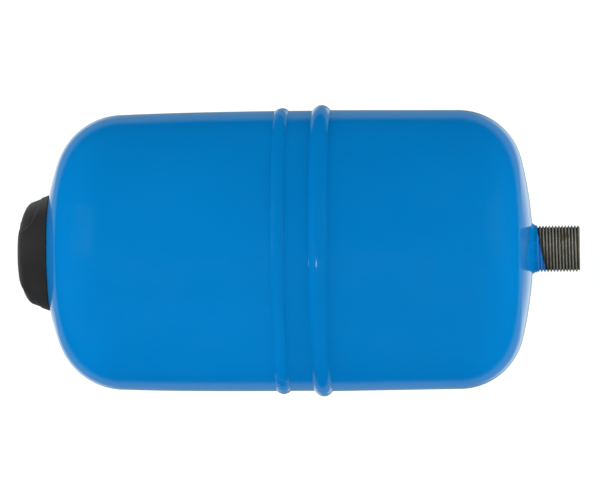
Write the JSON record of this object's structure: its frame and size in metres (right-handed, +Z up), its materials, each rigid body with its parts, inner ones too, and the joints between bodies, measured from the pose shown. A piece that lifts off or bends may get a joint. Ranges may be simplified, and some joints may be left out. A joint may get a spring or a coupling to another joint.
{
  "type": "expansion vessel",
  "caption": "Small steel diaphragm expansion vessel: two blue enamelled shells, girth weld and rolled bead, threaded pipe connector, sprung air valve under a black pull-off cap.",
  "frame": {"origin": "centre of the water connection's end face, on the vessel's axis", "axes": "+X along the vessel's axis, out of the threaded water connection; the air valve and its cap are at the -X end; +Z up as pictured, lying on its side"},
  "size_m": [0.3208, 0.1664, 0.1664],
  "materials": {
    "blue_enamel": "glossy stoved powder enamel, fine orange peel",
    "bare_steel": "bare machined carbon steel, lightly oiled, dark",
    "zinc_steel": "bright drawn steel",
    "butyl_rubber": "matt moulded rubber",
    "white_plastic": "moulded food-grade plastic, satin",
    "valve_brass": "machined",
    "black_plastic": "fine spark-eroded moulding texture"
  },
  "bodies": {
    "vessel": {"gas_side_shell": "blue_enamel", "water_side_shell": "blue_enamel", "seam_weld_bead": "blue_enamel", "clamp_ring": "zinc_steel", "diaphragm_wall": "butyl_rubber", "water_liner": "white_plastic", "inlet_grid": "white_plastic", "connector_nipple": "bare_steel", "connector_weld": "blue_enamel", "valve_boss": "bare_steel", "valve_boss_weld": "blue_enamel", "valve_stem": "valve_brass", "stem_o_ring": "butyl_rubber", "core_barrel": "valve_brass", "core_seal_ring": "white_plastic", "valve_spring": "zinc_steel"},
    "protective_cap": {"protective_cap": "black_plastic"},
    "dust_cap": {"dust_cap": "black_plastic", "dust_cap_gasket": "butyl_rubber"},
    "valve_pin": {"valve_pin": "valve_brass", "poppet_seal": "butyl_rubber", "poppet_cup": "valve_brass"},
    "diaphragm_crown": {"diaphragm_crown": "butyl_rubber"}
  },
  "joints": [
    {"name": "protective_cap_pull", "type": "slide", "parent": "vessel", "child": "protective_cap", "axis": [-1, 0, 0], "range_m": [0, 0.045]},
    {"name": "dust_cap_unscrew", "type": "slide", "parent": "vessel", "child": "dust_cap", "axis": [-1, 0, 0], "range_m": [0, 0.006]},
    {"name": "valve_pin_press", "type": "slide", "parent": "vessel", "child": "valve_pin", "axis": [1, 0, 0], "range_m": [0, 0.0012], "stiffness_N_per_m": 600, "springref_m": -0.001, "deforming": ["valve_spring"]},
    {"name": "diaphragm_stroke", "type": "slide", "parent": "vessel", "child": "diaphragm_crown", "axis": [-1, 0, 0], "range_m": [0, 0.12], "deforming": ["diaphragm_wall"]}
  ]
}
